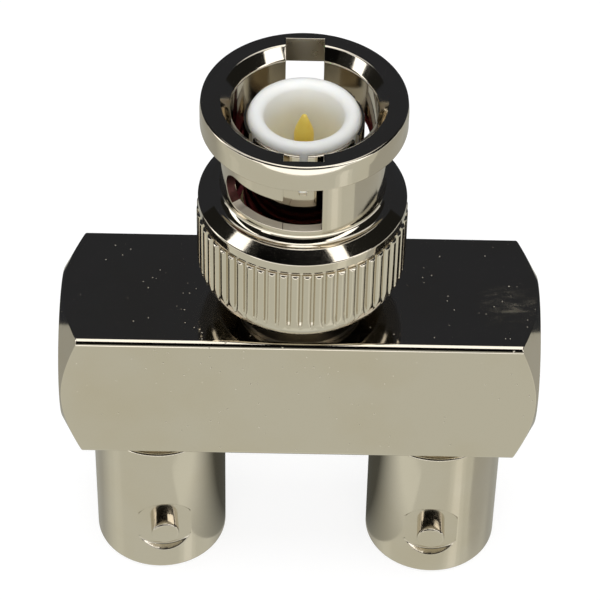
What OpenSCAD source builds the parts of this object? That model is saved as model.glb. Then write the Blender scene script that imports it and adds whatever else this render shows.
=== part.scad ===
// Block splitter for a 50 ohm bayonet coax line: one plug on top, two jacks below.
// Millimetres. +Z is the plug's axis, +X runs along the bar, the jacks' mouths lie at z = 0.

/* [Bar] */
// Width and height of the square bar
bar_size = 11.3; // [11.1:0.1:13]
// Length of the bar over its two end faces
bar_length = 33.8; // [30:0.1:40]
// Diameter of the flat left on each turned end
end_face_dia = 10.7; // [9.4:0.1:10.8]
// Angle between the turned end cone and the end face
end_cone_angle = 30; // [20:1:40]
// Rounding of the bar's four long edges
edge_radius = 0.45; // [0.2:0.05:0.6]
// Diameter of the long bore that holds the cross conductor
cross_bore_dia = 5; // [4.6:0.1:5.4]
// Diameter of the pressed plug that closes the long bore
end_plug_dia = 7; // [6.4:0.1:8]
// Thickness of the pressed plug
end_plug_t = 2.4; // [1.8:0.1:2.8]
// Depth of each seat that takes a pressed shank
shank_seat_depth = 2.8; // [2.2:0.1:3]

/* [Jacks] */
// Distance from a jack's axis to the nearer end of the bar
jack_inset = 6.7; // [6.4:0.1:7.2]
// Outer diameter of a jack's barrel
jack_dia = 9.7; // [9.6:0.01:9.7]
// Inner diameter of a jack's barrel
jack_bore_dia = 8.2; // [8.1:0.01:8.25]
// Depth of the open ring inside a jack
jack_bore_depth = 8.7; // [8.4:0.1:9.4]
// Distance from the bar's underside to a jack's mouth
jack_length = 13.6; // [13.2:0.1:16]
// Height of the relief between the barrel and the bar
jack_relief_h = 1; // [0.8:0.1:1.6]
// Diameter in the relief between the barrel and the bar
jack_relief_dia = 8.2; // [7.8:0.1:8.8]
// Diameter of the jack's shank pressed into the bar
jack_shank_dia = 7.2; // [6.9:0.1:7.6]
// Diameter of the jack's seat for its insulator
jack_seat_dia = 5.6; // [5.2:0.1:5.8]
// Rounding of the barrel's mouth edge
jack_edge_radius = 0.35; // [0.2:0.05:0.45]
// Turn of the left jack in the bar, seen from below
left_jack_turn = 6; // [-10:1:10]
// Turn of the right jack in the bar, seen from below
right_jack_turn = -2; // [-10:1:10]

/* [Bayonet studs] */
// Diameter of a stud
stud_dia = 2.05; // [1.95:0.05:2.1]
// Distance over the ends of a pair of studs
over_studs = 11; // [10.9:0.01:11.1]
// Distance from a jack's mouth to the centre of its studs
stud_height = 4.6; // [4.5:0.1:5.2]
// Depth of the spot face round a stud
spot_face_depth = 0.42; // [0.3:0.02:0.46]
// Diameter of the spot face's floor
spot_face_dia = 4.6; // [4:0.1:5]

/* [Coupling nut] */
// Height of the nut from its rear face to its mouth
nut_height = 16.3; // [16:0.1:17]
// Diameter over the flange at the nut's mouth
flange_dia = 13.94; // [13.8:0.02:14.4]
// Thickness of the flange at the nut's mouth
flange_t = 2; // [1.6:0.1:2.2]
// Outer diameter of the neck behind the flange
neck_dia = 11.2; // [11.1:0.1:11.6]
// Inner diameter of the nut
nut_bore_dia = 9.84; // [9.8:0.01:9.91]
// Diameter over the knurl
knurl_dia = 14.5; // [14.2:0.1:15.5]
// Height of the knurled band
knurl_height = 4.3; // [3.6:0.1:4.5]
// Depth of a knurl groove
knurl_depth = 0.25; // [0.15:0.05:0.35]
// Width of a knurl groove
knurl_gap = 0.26; // [0.2:0.02:0.4]
// Number of teeth round the knurl
knurl_teeth = 56; // [40:1:60]
// Diameter of the plain ring above the knurl
ring_dia = 14.3; // [14.2:0.05:14.4]
// Height of the plain ring above the knurl
ring_height = 0.72; // [0.5:0.02:1]
// Height of the chamfer below the knurl
skirt_height = 2.5; // [2.2:0.1:2.8]
// Diameter of the nut's rear face
rear_dia = 11.6; // [11:0.1:12]

/* [Bayonet slots] */
// Width of an entry groove
entry_width = 2.6; // [2.3:0.1:2.7]
// Height of a slot through the neck
slot_height = 2.5; // [2.3:0.1:2.7]
// Distance from the nut's mouth to a slot's lower wall
slot_depth = 6.8; // [6.5:0.1:7]
// Turn from the entry groove to the rounded end of a slot
slot_turn = 66; // [50:1:75]
// Step from a slot's wall to the round detent at its end
detent_step = 0.05; // [0.03:0.01:0.15]

/* [Plug] */
// Gap between the bar's top face and the nut
plug_gap = 1.4; // [1.2:0.1:2]
// Step from the plug's tube to the edge of its front flange
seat_step = 1.3; // [1.2:0.05:1.4]
// Inner diameter of the plug's tube
tube_bore_dia = 5.2; // [5:0.1:5.4]
// Diameter of the tube's front flange
seat_flange_dia = 9.4; // [9.3:0.05:9.5]
// Thickness of the tube's front flange
seat_flange_t = 1.4; // [1.2:0.1:1.6]
// Outer diameter of the slotted contact sleeve
contact_dia = 8.1; // [8.05:0.01:8.15]
// Wall of the slotted contact sleeve
contact_wall = 0.24; // [0.2:0.01:0.3]
// Distance from the nut's mouth to the sleeve's tip
contact_recess = 1.6; // [1.4:0.1:2]
// Number of slots in the contact sleeve
contact_slots = 6; // [4:1:8]
// Width of a slot in the contact sleeve
contact_slot_width = 0.55; // [0.3:0.05:0.6]
// Length of a slot in the contact sleeve
contact_slot_length = 3.4; // [2.5:0.1:6.5]
// Thickness of the sealing gasket
gasket_t = 1.7; // [1.4:0.1:1.9]

/* [Insulators and contacts] */
// Distance from the nut's mouth to the plug insulator's front
insulator_recess = 1.1; // [1:0.1:1.3]
// Mouth diameter of the plug insulator's cup
cup_dia = 5.45; // [5:0.05:5.6]
// Diameter of the cup behind its mouth
cup_throat_dia = 4.95; // [4.9:0.01:5]
// Depth of the plug insulator's cup
cup_depth = 8.5; // [8.2:0.1:8.6]
// Diameter of the centre pin
pin_dia = 1.35; // [1.32:0.01:1.37]
// Length of the pin's pointed end
pin_point = 1.4; // [1.2:0.1:2.4]
// Distance from the nut's mouth to the pin's tip
pin_recess = 1.4; // [1.1:0.1:2]
// Diameter of a jack insulator's front stem
stem_dia = 4.7; // [4.6:0.01:4.75]
// Distance from a jack's mouth to its stem
stem_recess = 0.5; // [0.2:0.1:1]
// Outer diameter of a jack's socket contact
socket_dia = 2.2; // [2:0.05:2.4]
// Bore of a jack's socket contact
socket_bore_dia = 1.4; // [1.38:0.01:1.42]
// Depth of the bore in a socket contact
socket_depth = 6; // [5:0.1:7]
// Diameter of the contacts' thin tails
tail_dia = 0.9; // [0.8:0.05:1]
// Diameter of the cross conductor
bus_dia = 2; // [1.8:0.1:2.4]

/* [Spring and rings] */
// Free play of the nut along its axis
nut_travel = 0.8; // [0.5:0.1:0.9]
// Thickness of the thrust washer
washer_t = 0.4; // [0.3:0.05:0.5]
// Thickness of the wave spring's strip
spring_t = 0.25; // [0.2:0.05:0.3]
// Number of waves in the wave spring
spring_waves = 3; // [3:1:5]
// Thickness of the retaining ring
retainer_t = 0.35; // [0.3:0.05:0.4]
// Step from the plug's tube to the edge of the retaining ring
retainer_step = 1; // [0.9:0.05:1.1]
// Depth of the groove that holds the retaining ring
retainer_groove = 0.3; // [0.2:0.05:0.35]

/* [Hidden] */
$fn = 96;

// Clearance at a pressed joint
press_gap = 0.02;
// Clearance at a joint that turns or slides
run_gap = 0.06;
// Overshoot of a cutting shape
cut = 0.5;

jack_x = bar_length / 2 - jack_inset;
bar_bottom = jack_length;
bar_top = bar_bottom + bar_size;
bar_axis = bar_bottom + bar_size / 2;
shank_top = bar_bottom + shank_seat_depth;
nut_rear = bar_top + plug_gap;
nut_mouth = nut_rear + nut_height;
tube_foot = bar_top - shank_seat_depth;
tube_dia = seat_flange_dia - 2 * seat_step;
retainer_dia = tube_dia + 2 * retainer_step;

knurl_bottom = nut_rear + skirt_height;
knurl_top = knurl_bottom + knurl_height;
knurl_groove_h = 0.3;
ring_bottom = knurl_top + knurl_groove_h;
ring_top = ring_bottom + ring_height;
shoulder_rise = 0.67;
shoulder_dia = neck_dia + 1.4;
fillet_radius = (shoulder_dia - neck_dia) / 2;
flange_bottom = nut_mouth - flange_t;
// Wall of the flange, and the shares of it that the rim's taper, the mouth's chamfer
// and the metal outside an entry groove take
flange_wall = (flange_dia - nut_bore_dia) / 2;
rim_share = 0.04;
rim_height = 0.6;
mouth_share = 0.356;
groove_share = 0.376;
entry_dia = flange_dia - 2 * groove_share * flange_wall;
slot_bottom = nut_mouth - slot_depth;

lip_t = 2;
lip_top = nut_rear + lip_t;
washer_bottom = lip_top + run_gap;
washer_top = washer_bottom + washer_t;
spring_height = nut_travel + spring_t + 0.15;
seat_flange_bottom = washer_top + spring_height + 2 * press_gap;
seat_flange_top = seat_flange_bottom + seat_flange_t;
contact_foot = seat_flange_top - 0.7;
contact_tip = nut_mouth - contact_recess;
contact_root_dia = contact_dia + 0.44;
insulator_front = nut_mouth - insulator_recess;
cup_floor = insulator_front - cup_depth;
pin_tip = nut_mouth - pin_recess;
// Step from the pin to its thicker root in the insulator
pin_shoulder = 0.25;
tail_reach = 0.9 * bus_dia / 2;
sleeve_gap = 0.3;
sleeve_start = tube_bore_dia / 2 - sleeve_gap;

// A square with round corners
module rounded_square(size, radius) {
    square([size - 2 * radius, size], center = true);
    square([size, size - 2 * radius], center = true);
    for (sx = [-1, 1], sy = [-1, 1])
        translate([sx, sy] * (size / 2 - radius))
            circle(radius);
}

// A ring about Z, from z = low to z = high
module ring(outer_dia, inner_dia, low, high) {
    translate([0, 0, low])
        difference() {
            cylinder(d = outer_dia, h = high - low);
            translate([0, 0, -cut])
                cylinder(d = inner_dia, h = high - low + 2 * cut);
        }
}

// A hole about Z, from z = low to z = high
module hole(dia, low, high) {
    translate([0, 0, low])
        cylinder(d = dia, h = high - low);
}

// Places a jack's pieces on its own axis, turned as the jack is turned
module at_jack(side) {
    translate([side * jack_x, 0, 0])
        rotate([0, 0, side < 0 ? left_jack_turn : right_jack_turn])
            children();
}

// The solid that the lathe leaves at the bar's two ends
module turned_ends() {
    face_r = end_face_dia / 2;
    reach = bar_size;
    rotate([0, 90, 0])
        rotate_extrude()
            polygon([
                [0, -bar_length / 2], [face_r, -bar_length / 2],
                [face_r + reach, -bar_length / 2 + reach * tan(end_cone_angle)],
                [face_r + reach, bar_length / 2 - reach * tan(end_cone_angle)],
                [face_r, bar_length / 2], [0, bar_length / 2]
            ]);
}

module bar_body() {
    color("silver")
        difference() {
            intersection() {
                translate([-bar_length / 2, 0, bar_axis])
                    rotate([90, 0, 90])
                        linear_extrude(bar_length)
                            rounded_square(bar_size, edge_radius);
                translate([0, 0, bar_axis])
                    turned_ends();
            }
            // long bore, closed by the pressed plug at its open end
            translate([-jack_x - cross_bore_dia / 2, 0, bar_axis])
                rotate([0, 90, 0])
                    cylinder(d = cross_bore_dia, h = bar_length);
            translate([bar_length / 2 - end_plug_t, 0, bar_axis])
                rotate([0, 90, 0])
                    cylinder(d = end_plug_dia + 2 * press_gap, h = end_plug_t + cut);
            // seat and bore for the plug's tube
            hole(tube_dia + 2 * press_gap, tube_foot, bar_top + cut);
            hole(cross_bore_dia, bar_axis, bar_top);
            // seats and bores for the two jacks
            for (side = [-1, 1])
                translate([side * jack_x, 0, 0]) {
                    hole(jack_shank_dia + 2 * press_gap, bar_bottom - cut, shank_top);
                    hole(cross_bore_dia, bar_bottom, bar_axis);
                }
        }
}

module end_plug() {
    chamfer = 0.3;
    color("silver")
        translate([bar_length / 2 - end_plug_t, 0, bar_axis])
            rotate([0, 90, 0])
                union() {
                    cylinder(d1 = end_plug_dia - 2 * chamfer, d2 = end_plug_dia, h = chamfer);
                    translate([0, 0, chamfer])
                        cylinder(d = end_plug_dia, h = end_plug_t - chamfer);
                }
}

module cross_conductor() {
    overhang = 1.2;
    color("goldenrod")
        difference() {
            translate([-jack_x - overhang, 0, bar_axis])
                rotate([0, 90, 0])
                    cylinder(d = bus_dia, h = 2 * (jack_x + overhang));
            for (x = [-jack_x, 0, jack_x])
                translate([x, 0, bar_axis - bus_dia])
                    cylinder(d = tail_dia + 2 * press_gap, h = 2 * bus_dia);
        }
}

// Insulating sleeve on the cross conductor, between the plug's axis and a jack's axis
module cross_sleeve(side) {
    length = jack_x - 2 * sleeve_start;
    color("white")
        translate([side * jack_x / 2, 0, bar_axis])
            rotate([0, 90, 0])
                translate([0, 0, -length / 2])
                    ring(cross_bore_dia - 2 * press_gap, bus_dia + 2 * press_gap, 0, length);
}

module left_sleeve() { cross_sleeve(-1); }
module right_sleeve() { cross_sleeve(1); }

module plug_tube() {
    groove_top = nut_rear - press_gap;
    color("silver")
        difference() {
            union() {
                hole(tube_dia, tube_foot, seat_flange_bottom + cut);
                hole(seat_flange_dia, seat_flange_bottom, seat_flange_top);
            }
            hole(tube_bore_dia, tube_foot - cut, seat_flange_top + cut);
            hole(contact_root_dia + 2 * press_gap, contact_foot, seat_flange_top + cut);
            ring(tube_dia + 2 * cut, tube_dia - 2 * retainer_groove,
                groove_top - retainer_t - 2 * press_gap, groove_top);
        }
}

module outer_contact() {
    inner = contact_dia - 2 * contact_wall;
    root_top = seat_flange_top + gasket_t + 0.1;
    lead = 0.1;
    color("silver")
        difference() {
            union() {
                hole(contact_root_dia, contact_foot, root_top);
                hole(contact_dia, contact_foot, contact_tip - lead);
                translate([0, 0, contact_tip - lead])
                    cylinder(d1 = contact_dia, d2 = contact_dia - 2 * lead, h = lead);
            }
            hole(inner, contact_foot - cut, contact_tip + cut);
            for (i = [0:contact_slots - 1])
                rotate([0, 0, -90 + i * 360 / contact_slots])
                    translate([0, -contact_slot_width / 2, contact_tip - contact_slot_length])
                        cube([contact_dia, contact_slot_width, contact_slot_length + cut]);
        }
}

module plug_insulator() {
    head_r = contact_dia / 2 - contact_wall - press_gap;
    shank_r = tube_bore_dia / 2 - press_gap;
    cup_r = cup_dia / 2;
    throat_r = cup_throat_dia / 2;
    lip_r = (head_r - cup_r) / 2;
    lip_x = (head_r + cup_r) / 2;
    taper = 3.4;
    hole_r = pin_dia / 2 + pin_shoulder + press_gap;
    color("white")
        rotate_extrude()
            union() {
                polygon([
                    [hole_r, tube_foot], [shank_r, tube_foot], [shank_r, contact_foot],
                    [head_r, contact_foot], [head_r, insulator_front - lip_r],
                    [cup_r, insulator_front - lip_r],
                    [throat_r, insulator_front - taper], [throat_r, cup_floor], [hole_r, cup_floor]
                ]);
                translate([lip_x, insulator_front - lip_r])
                    intersection() {
                        circle(lip_r);
                        translate([-lip_r, 0])
                            square([2 * lip_r, lip_r]);
                    }
            }
}

module centre_pin() {
    pin_r = pin_dia / 2;
    tip_r = 0.16;
    root_r = pin_r + pin_shoulder;
    tail_r = tail_dia / 2;
    color("gold")
        rotate_extrude()
            polygon([
                [0, bar_axis - tail_reach], [tail_r, bar_axis - tail_reach], [tail_r, tube_foot],
                [root_r, tube_foot], [root_r, cup_floor], [pin_r, cup_floor],
                [pin_r, pin_tip - pin_point], [tip_r, pin_tip - 0.08], [0, pin_tip]
            ]);
}

module gasket() {
    outer_r = seat_flange_dia / 2 + 0.02;
    inner_r = contact_root_dia / 2 + press_gap;
    edge = 0.15;
    color([0.45, 0.06, 0.08])
        translate([0, 0, seat_flange_top])
            rotate_extrude()
                union() {
                    translate([inner_r, 0])
                        square([outer_r - inner_r, gasket_t - edge]);
                    translate([inner_r + edge, 0])
                        square([outer_r - inner_r - 2 * edge, gasket_t]);
                    for (x = [inner_r + edge, outer_r - edge])
                        translate([x, gasket_t - edge])
                            circle(edge);
                }
}

// Outer form of the nut, before its knurl and its slots
module nut_profile() {
    neck_r = neck_dia / 2;
    flange_r = flange_dia / 2;
    knurl_r = knurl_dia / 2;
    ring_r = ring_dia / 2;
    bore_r = nut_bore_dia / 2;
    mouth_r = bore_r + mouth_share * flange_wall;
    mouth_chamfer = 0.75;
    groove_r = ring_r - 0.2;
    tube_hole_r = tube_dia / 2 + run_gap;
    rim_r = flange_r - rim_share * flange_wall;
    skirt_r = rear_dia / 2;
    edge = 0.2;
    difference() {
        union() {
            polygon([
                [tube_hole_r, nut_rear], [skirt_r, nut_rear],
                [skirt_r + 0.55 * (knurl_r - skirt_r), nut_rear + 0.27 * skirt_height],
                [skirt_r + 0.9 * (knurl_r - skirt_r), nut_rear + 0.65 * skirt_height],
                [knurl_r, knurl_bottom], [knurl_r, knurl_top - edge], [knurl_r - edge, knurl_top],
                [groove_r, knurl_top], [groove_r, ring_bottom], [ring_r, ring_bottom],
                [ring_r, ring_top], [shoulder_dia / 2, ring_top + shoulder_rise],
                [neck_r, ring_top + shoulder_rise], [neck_r, flange_bottom],
                [flange_r, flange_bottom], [flange_r, nut_mouth - rim_height],
                [rim_r, nut_mouth], [mouth_r, nut_mouth], [bore_r, nut_mouth - mouth_chamfer],
                [bore_r, lip_top], [tube_hole_r, lip_top]
            ]);
            translate([neck_r - 0.1, ring_top + shoulder_rise - 0.1])
                square([fillet_radius + 0.1, fillet_radius + 0.1]);
        }
        translate([neck_r + fillet_radius, ring_top + shoulder_rise + fillet_radius])
            circle(fillet_radius);
    }
}

// One bayonet track: the entry groove from the mouth, the slot that turns away from it
// and the round detent at the slot's end
module bayonet_track() {
    neck_r = neck_dia / 2;
    inner_r = nut_bore_dia / 2 - cut;
    outer_r = neck_r + cut;
    detent_r = slot_height / 2 + detent_step;
    end_turn = slot_turn - asin(detent_r / neck_r);
    entry_turn = asin(entry_width / 4 / neck_r);
    runout = 0.02;
    translate([-entry_width / 2, -entry_dia / 2, slot_bottom - runout])
        cube([entry_width, entry_dia / 2 - inner_r, slot_depth + cut]);
    rotate([0, 0, -90 - end_turn])
        translate([0, 0, slot_bottom])
            rotate_extrude(angle = end_turn + entry_turn)
                translate([inner_r, 0])
                    square([outer_r - inner_r, slot_height]);
    rotate([0, 0, -90 - end_turn])
        translate([inner_r, 0, slot_bottom + slot_height / 2])
            rotate([0, 90, 0])
                cylinder(r = detent_r, h = outer_r - inner_r);
}

// Flutes of the straight knurl, cut down from the top of the skirt to the groove
module knurl_flutes() {
    for (i = [0:knurl_teeth - 1])
        rotate(i * 360 / knurl_teeth)
            translate([knurl_dia / 2 - knurl_depth, -knurl_gap / 2])
                square([knurl_depth + cut, knurl_gap]);
}

module coupling_nut() {
    color("silver")
        difference() {
            rotate_extrude()
                nut_profile();
            for (turn = [0, 180])
                rotate([0, 0, turn])
                    bayonet_track();
            translate([0, 0, knurl_bottom])
                linear_extrude(knurl_height + cut / 2)
                    knurl_flutes();
        }
}

module thrust_washer() {
    color("silver")
        ring(seat_flange_dia, tube_dia + 2 * run_gap, washer_bottom, washer_top);
}

// Height of the spring's middle line round the ring
function wave(a, swing) = swing * sin(a * spring_waves);

module wave_spring() {
    inner_r = tube_dia / 2 + 0.2;
    outer_r = seat_flange_dia / 2 - 0.1;
    swing = (spring_height - spring_t) / 2;
    steps = 72;
    middle = washer_top + press_gap + spring_height / 2;
    ring_points = [for (i = [0:steps - 1])
        let (a = i * 360 / steps, z = middle + wave(a, swing))
        for (c = [[inner_r, -1], [outer_r, -1], [outer_r, 1], [inner_r, 1]])
            [c[0] * cos(a), c[0] * sin(a), z + c[1] * spring_t / 2]];
    ring_faces = [for (i = [0:steps - 1], k = [0:3])
        let (j = (i + 1) % steps, m = (k + 1) % 4)
        [i * 4 + k, i * 4 + m, j * 4 + m, j * 4 + k]];
    color("gray")
        polyhedron(points = ring_points, faces = ring_faces, convexity = 4);
}

module retaining_ring() {
    inner = tube_dia - 2 * retainer_groove + 2 * press_gap;
    top = nut_rear - 2 * press_gap;
    gap = 1.4;
    color("gray")
        difference() {
            ring(retainer_dia, inner, top - retainer_t, top);
            translate([0, -gap / 2, top - 2 * retainer_t])
                cube([retainer_dia, gap, 3 * retainer_t]);
        }
}

// Section of a jack's shell, turned about its axis
module jack_profile() {
    barrel_r = jack_dia / 2;
    bore_r = jack_bore_dia / 2;
    relief_r = jack_relief_dia / 2;
    shank_r = jack_shank_dia / 2;
    seat_r = jack_seat_dia / 2;
    edge = jack_edge_radius;
    shoulder = bar_bottom - jack_relief_h;
    shoulder_edge = 0.25;
    mouth_chamfer = 0.2;
    polygon([
        [bore_r + mouth_chamfer, 0], [barrel_r - edge, 0], [barrel_r - edge, edge], [barrel_r, edge],
        [barrel_r, shoulder - shoulder_edge], [barrel_r - shoulder_edge, shoulder],
        [relief_r, shoulder], [relief_r, bar_bottom], [shank_r, bar_bottom], [shank_r, shank_top],
        [seat_r, shank_top], [seat_r, jack_bore_depth], [bore_r, jack_bore_depth],
        [bore_r, mouth_chamfer]
    ]);
    translate([barrel_r - edge, edge])
        circle(edge);
}

// Cuts for one stud: a shallow cone for the spot face and the stud's hole
module stud_cuts() {
    barrel_r = jack_dia / 2;
    floor_r = spot_face_dia / 2;
    translate([0, -(barrel_r - spot_face_depth), stud_height])
        rotate([90, 0, 0])
            cylinder(r1 = floor_r, r2 = floor_r + spot_face_depth + cut, h = spot_face_depth + cut);
    translate([0, 0, stud_height])
        rotate([90, 0, 0])
            cylinder(d = stud_dia + 2 * press_gap, h = barrel_r);
}

module jack_shell(side) {
    color("silver")
        at_jack(side)
            difference() {
                rotate_extrude()
                    jack_profile();
                for (turn = [0, 180])
                    rotate([0, 0, turn])
                        stud_cuts();
            }
}

module jack_stud(side, turn) {
    root = jack_bore_dia / 2 + 0.02;
    edge = 0.12;
    length = over_studs / 2 - root;
    color("silver")
        at_jack(side)
            rotate([0, 0, turn])
                translate([0, -root, stud_height])
                    rotate([90, 0, 0])
                        union() {
                            cylinder(d = stud_dia, h = length - edge);
                            translate([0, 0, length - edge])
                                cylinder(d1 = stud_dia, d2 = stud_dia - 2 * edge, h = edge);
                        }
}

module jack_insulator(side) {
    stem_r = stem_dia / 2;
    seat_r = jack_seat_dia / 2 - press_gap;
    hole_r = socket_dia / 2 + press_gap;
    tail_r = tail_dia / 2 + press_gap;
    socket_top = jack_bore_depth + 0.6;
    edge = 0.2;
    color("white")
        at_jack(side)
            rotate_extrude()
                polygon([
                    [hole_r, stem_recess], [stem_r - edge, stem_recess], [stem_r, stem_recess + edge],
                    [stem_r, jack_bore_depth], [seat_r, jack_bore_depth], [seat_r, shank_top],
                    [tail_r, shank_top], [tail_r, socket_top], [hole_r, socket_top]
                ]);
}

module jack_socket(side) {
    socket_r = socket_dia / 2;
    bore_r = socket_bore_dia / 2;
    front = stem_recess + 0.3;
    socket_top = jack_bore_depth + 0.6 - press_gap;
    slit = 0.3;
    slit_depth = 3.5;
    lead = 0.12;
    color("gold")
        at_jack(side)
            difference() {
                rotate_extrude()
                    polygon([
                        [bore_r + lead, front], [socket_r, front], [socket_r, socket_top],
                        [tail_dia / 2, socket_top], [tail_dia / 2, bar_axis + tail_reach],
                        [0, bar_axis + tail_reach], [0, front + socket_depth],
                        [bore_r, front + socket_depth], [bore_r, front + lead]
                    ]);
                translate([-socket_dia, -slit / 2, front - cut])
                    cube([2 * socket_dia, slit, slit_depth + cut]);
            }
}

module left_jack_shell() { jack_shell(-1); }
module left_jack_insulator() { jack_insulator(-1); }
module left_jack_socket() { jack_socket(-1); }
module left_front_stud() { jack_stud(-1, 0); }
module left_back_stud() { jack_stud(-1, 180); }
module right_jack_shell() { jack_shell(1); }
module right_jack_insulator() { jack_insulator(1); }
module right_jack_socket() { jack_socket(1); }
module right_front_stud() { jack_stud(1, 0); }
module right_back_stud() { jack_stud(1, 180); }

bar_body();
end_plug();
cross_conductor();
left_sleeve();
right_sleeve();
plug_tube();
outer_contact();
plug_insulator();
centre_pin();
gasket();
coupling_nut();
thrust_washer();
wave_spring();
retaining_ring();
left_jack_shell();
left_jack_insulator();
left_jack_socket();
left_front_stud();
left_back_stud();
right_jack_shell();
right_jack_insulator();
right_jack_socket();
right_front_stud();
right_back_stud();
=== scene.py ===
"""Looks of a block splitter for a bayonet coax line: plug above, two jacks below.

Every length in the classes is in millimetres, in the frame of the CAD model, and
turned to metres where a mesh is made.
"""

import logging
import math
from dataclasses import dataclass, field
from enum import Enum
from typing import Callable, Iterable, Sequence

import bmesh
import bpy
import numpy as np
from mathutils import Matrix, Vector

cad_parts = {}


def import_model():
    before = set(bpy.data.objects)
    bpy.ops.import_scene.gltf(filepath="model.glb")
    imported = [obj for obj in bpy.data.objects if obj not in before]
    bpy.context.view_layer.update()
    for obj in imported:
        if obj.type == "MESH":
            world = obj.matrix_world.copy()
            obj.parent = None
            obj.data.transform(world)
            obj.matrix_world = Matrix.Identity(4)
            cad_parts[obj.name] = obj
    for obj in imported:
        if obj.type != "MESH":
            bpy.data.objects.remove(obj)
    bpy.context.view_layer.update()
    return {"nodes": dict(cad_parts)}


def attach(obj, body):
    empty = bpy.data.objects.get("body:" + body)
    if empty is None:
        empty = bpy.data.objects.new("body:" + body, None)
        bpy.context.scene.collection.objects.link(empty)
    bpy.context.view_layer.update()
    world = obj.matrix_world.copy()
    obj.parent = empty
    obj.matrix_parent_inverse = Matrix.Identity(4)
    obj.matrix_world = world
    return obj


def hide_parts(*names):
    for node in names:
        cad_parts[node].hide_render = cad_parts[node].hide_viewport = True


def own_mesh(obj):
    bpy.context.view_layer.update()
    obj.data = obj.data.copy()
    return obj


MM = 0.001
PRESS_GAP = 0.02
SMOOTH_LIMIT = math.radians(34)
FACET_LIMIT = math.radians(4)
log = logging.getLogger("splitter")


# Colour and node helpers


def linear(code: str) -> tuple[float, float, float, float]:
    """Turns an sRGB hex colour to the linear values that Blender's sockets take.

    Args:
        code: Colour such as "#D4CDC1".

    Returns:
        Linear red, green and blue, and an alpha of 1.
    """
    channels = [int(code[i : i + 2], 16) / 255 for i in (1, 3, 5)]
    lin = [c / 12.92 if c <= 0.04045 else ((c + 0.055) / 1.055) ** 2.4 for c in channels]
    return (lin[0], lin[1], lin[2], 1.0)


def per_mm(length: float) -> float:
    """Returns the scale at which a texture repeats about once in so many millimetres."""
    return 1.0 / (length * MM)


@dataclass
class NodeBoard:
    """The node tree of one material, with a single way to add to it."""

    tree: bpy.types.NodeTree

    def add(self, kind: str, inputs: dict | None = None, **settings: object) -> bpy.types.Node:
        """Adds a node, sets it up and links it.

        Args:
            kind: Blender's name of the node's type.
            inputs: Value or output socket for each named or numbered input.
            **settings: Properties of the node itself.

        Returns:
            The new node.
        """
        node = self.tree.nodes.new(kind)
        for name, value in settings.items():
            setattr(node, name, value)
        for key, value in (inputs or {}).items():
            socket = node.inputs[key]
            if isinstance(value, bpy.types.NodeSocket):
                self.tree.links.new(value, socket)
            else:
                socket.default_value = value
        return node

    def where(self) -> bpy.types.NodeSocket:
        """Returns the object's own coordinates, in metres."""
        return self.add("ShaderNodeTexCoord").outputs["Object"]

    def noise(
        self, where: bpy.types.NodeSocket, length: float, detail: float, **inputs: float
    ) -> bpy.types.NodeSocket:
        """Adds clouds that change about once in a length.

        Args:
            where: The coordinates.
            length: The length in millimetres.
            detail: How many finer layers lie over it.
            **inputs: Other inputs of the noise.

        Returns:
            The clouds, about 0.5 in the mean.
        """
        sockets = {"Vector": where, "Scale": per_mm(length), "Detail": detail, **inputs}
        return self.add("ShaderNodeTexNoise", sockets).outputs["Fac"]

    def ramp(
        self,
        value: bpy.types.NodeSocket,
        given: tuple[float, float],
        wanted: tuple[float, float],
        shape: str = "LINEAR",
    ) -> bpy.types.NodeSocket:
        """Maps one range of a value to another, and holds it at both ends.

        Args:
            value: The value.
            given: The range that it is read in.
            wanted: What that range becomes.
            shape: Blender's name of the interpolation.

        Returns:
            The mapped value.
        """
        sockets = {
            "Value": value,
            "From Min": given[0],
            "From Max": given[1],
            "To Min": wanted[0],
            "To Max": wanted[1],
        }
        return self.add("ShaderNodeMapRange", sockets, interpolation_type=shape).outputs["Result"]

    def mix(
        self, share: bpy.types.NodeSocket, first: object, second: object
    ) -> bpy.types.NodeSocket:
        """Blends two colours, each a value or a socket, by a share."""
        sockets = {"Factor": share, "A": first, "B": second}
        return self.add("ShaderNodeMix", sockets, data_type="RGBA").outputs["Result"]

    def bump(
        self, height: bpy.types.NodeSocket, strength: float, depth: float, **settings: object
    ) -> bpy.types.NodeSocket:
        """Turns a pattern to relief.

        Args:
            height: The pattern.
            strength: Share of the relief that shows.
            depth: Height of the relief in millimetres.
            **settings: The normal below it, as normal, and settings of the node.

        Returns:
            The normal.
        """
        sockets = {"Height": height, "Strength": strength, "Distance": depth * MM}
        below = settings.pop("normal", None)
        if below is not None:
            sockets["Normal"] = below
        return self.add("ShaderNodeBump", sockets, **settings).outputs["Normal"]

    def maths(self, operation: str, *values: object) -> bpy.types.NodeSocket:
        """Adds one sum of values or sockets; the operation is Blender's name of it."""
        sockets = dict(enumerate(values))
        return self.add("ShaderNodeMath", sockets, operation=operation).outputs["Value"]

    def seen(self) -> bpy.types.NodeSocket:
        """Returns 1 on rays from the camera, in a mirror or through glass, and 0 on the rest."""
        path = self.add("ShaderNodeLightPath").outputs
        direct = self.maths("MAXIMUM", path["Is Camera Ray"], path["Is Glossy Ray"])
        return self.maths("MAXIMUM", direct, path["Is Transmission Ray"])

    def surface(self, shader: bpy.types.NodeSocket, kind: str = "ShaderNodeOutputMaterial") -> None:
        """Adds the output node for a shader."""
        self.add(kind, {"Surface": shader})

    def wire(self, shader: bpy.types.Node, **sockets: bpy.types.NodeSocket) -> None:
        """Links patterns to a Principled shader's base, roughness and normal."""
        names = {"base": "Base Color", "roughness": "Roughness", "normal": "Normal"}
        for name, socket in sockets.items():
            self.tree.links.new(socket, shader.inputs[names[name]])


# Finishes


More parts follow.
